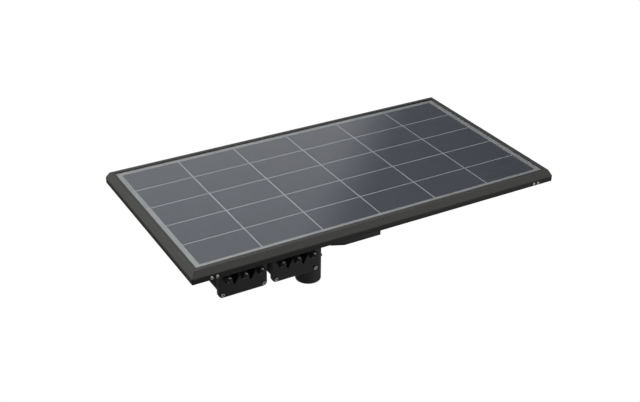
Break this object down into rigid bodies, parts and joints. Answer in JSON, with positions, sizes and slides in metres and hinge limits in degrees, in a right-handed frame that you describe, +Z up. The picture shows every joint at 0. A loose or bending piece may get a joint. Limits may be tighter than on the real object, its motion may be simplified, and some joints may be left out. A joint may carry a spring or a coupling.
{
  "type": "solar street lamp",
  "caption": "Solar street lamp head: framed solar panel over downward LED modules and a battery case, on a tilting sleeve that clamps to a pole.",
  "frame": {"origin": "centre of the pole sleeve's open mouth", "axes": "+Z up along the sleeve bore, +X along the panel's length"},
  "size_m": [1.172, 0.634, 0.351],
  "materials": {
    "frame_black": "satin powder coat on aluminium",
    "steel_zinc": "stainless fasteners",
    "panel_glass": "clear tempered glass",
    "silver_strip": "matt silver film",
    "silicon": "dark blue-grey coated silicon",
    "backsheet": "white laminate",
    "seal": "matt",
    "box_plastic": "moulded",
    "rail_grey": "dark anodised",
    "sheet_black": "satin powder coat on steel sheet",
    "sink_black": "black anodised extrusion",
    "cast_black": "fine powder coat on die casting",
    "led_board": "white solder mask",
    "lens": "clear polycarbonate",
    "case_black": "fine powder coat on die casting",
    "cell_wrap": "shrink wrap over steel can",
    "circuit": "solder mask",
    "controller": "plain",
    "bezel": "turned",
    "button_red": "moulded"
  },
  "bodies": {
    "sleeve": {"pole_sleeve": "cast_black", "lock_bolt": "steel_zinc", "lock_nut": "steel_zinc"},
    "head": {"frame_front": "frame_black", "frame_back": "frame_black", "frame_left": "frame_black", "frame_right": "frame_black", "corner_keys": "steel_zinc", "frame_screws": "steel_zinc", "rail_bolts": "steel_zinc", "tie_bolts": "steel_zinc", "tie_nuts": "steel_zinc", "tongue_screws": "steel_zinc", "cover_screws": "steel_zinc", "case_bolts": "steel_zinc", "pivot_bolt": "steel_zinc", "pivot_nut": "steel_zinc", "button_spring": "steel_zinc", "cover_glass": "panel_glass", "border_strip": "silver_strip", "solar_cells": "silicon", "backsheet": "backsheet", "glass_seal": "seal", "lens_seal_1": "seal", "lens_seal_2": "seal", "cover_seal": "seal", "junction_box": "box_plastic", "cable_glands": "box_plastic", "cell_holders": "box_plastic", "cross_bar_left": "rail_grey", "cross_bar_right": "rail_grey", "spine_rail_front": "rail_grey", "spine_rail_back": "rail_grey", "carrier_plate": "sheet_black", "hanger_front_1": "sheet_black", "hanger_front_2": "sheet_black", "hanger_rear_1": "sheet_black", "hanger_rear_2": "sheet_black", "heat_sink_1": "sink_black", "heat_sink_2": "sink_black", "front_cap_1": "cast_black", "front_cap_2": "cast_black", "rear_cap_1": "cast_black", "rear_cap_2": "cast_black", "tilt_yoke": "cast_black", "led_board_1": "led_board", "led_board_2": "led_board", "lens_plate_1": "lens", "lens_plate_2": "lens", "battery_case": "case_black", "case_cover": "case_black", "battery_cells": "cell_wrap", "battery_board": "circuit", "charge_controller": "controller", "button_bezel": "bezel"},
    "clamp_1": {"clamp_screw_1": "steel_zinc"},
    "clamp_2": {"clamp_screw_2": "steel_zinc"},
    "clamp_3": {"clamp_screw_3": "steel_zinc"},
    "button": {"power_button": "button_red"}
  },
  "joints": [
    {"name": "tilt", "type": "hinge", "parent": "sleeve", "child": "head", "pos_m": [0, 0, 0.229], "axis": [1, 0, 0], "range_deg": [-15, 15]},
    {"name": "clamp_1_travel", "type": "slide", "parent": "sleeve", "child": "clamp_1", "axis": [-1, 0, 0], "range_m": [0, 0.007]},
    {"name": "clamp_2_travel", "type": "slide", "parent": "sleeve", "child": "clamp_2", "axis": [0.5, -0.866, 0], "range_m": [0, 0.007]},
    {"name": "clamp_3_travel", "type": "slide", "parent": "sleeve", "child": "clamp_3", "axis": [0.5, 0.866, 0], "range_m": [0, 0.007]},
    {"name": "power_button_press", "type": "slide", "parent": "head", "child": "button", "axis": [0, 0, 1], "range_m": [0, 0.002], "stiffness_N_per_m": 900, "springref_m": -0.001, "deforming": ["button_spring"]}
  ]
}
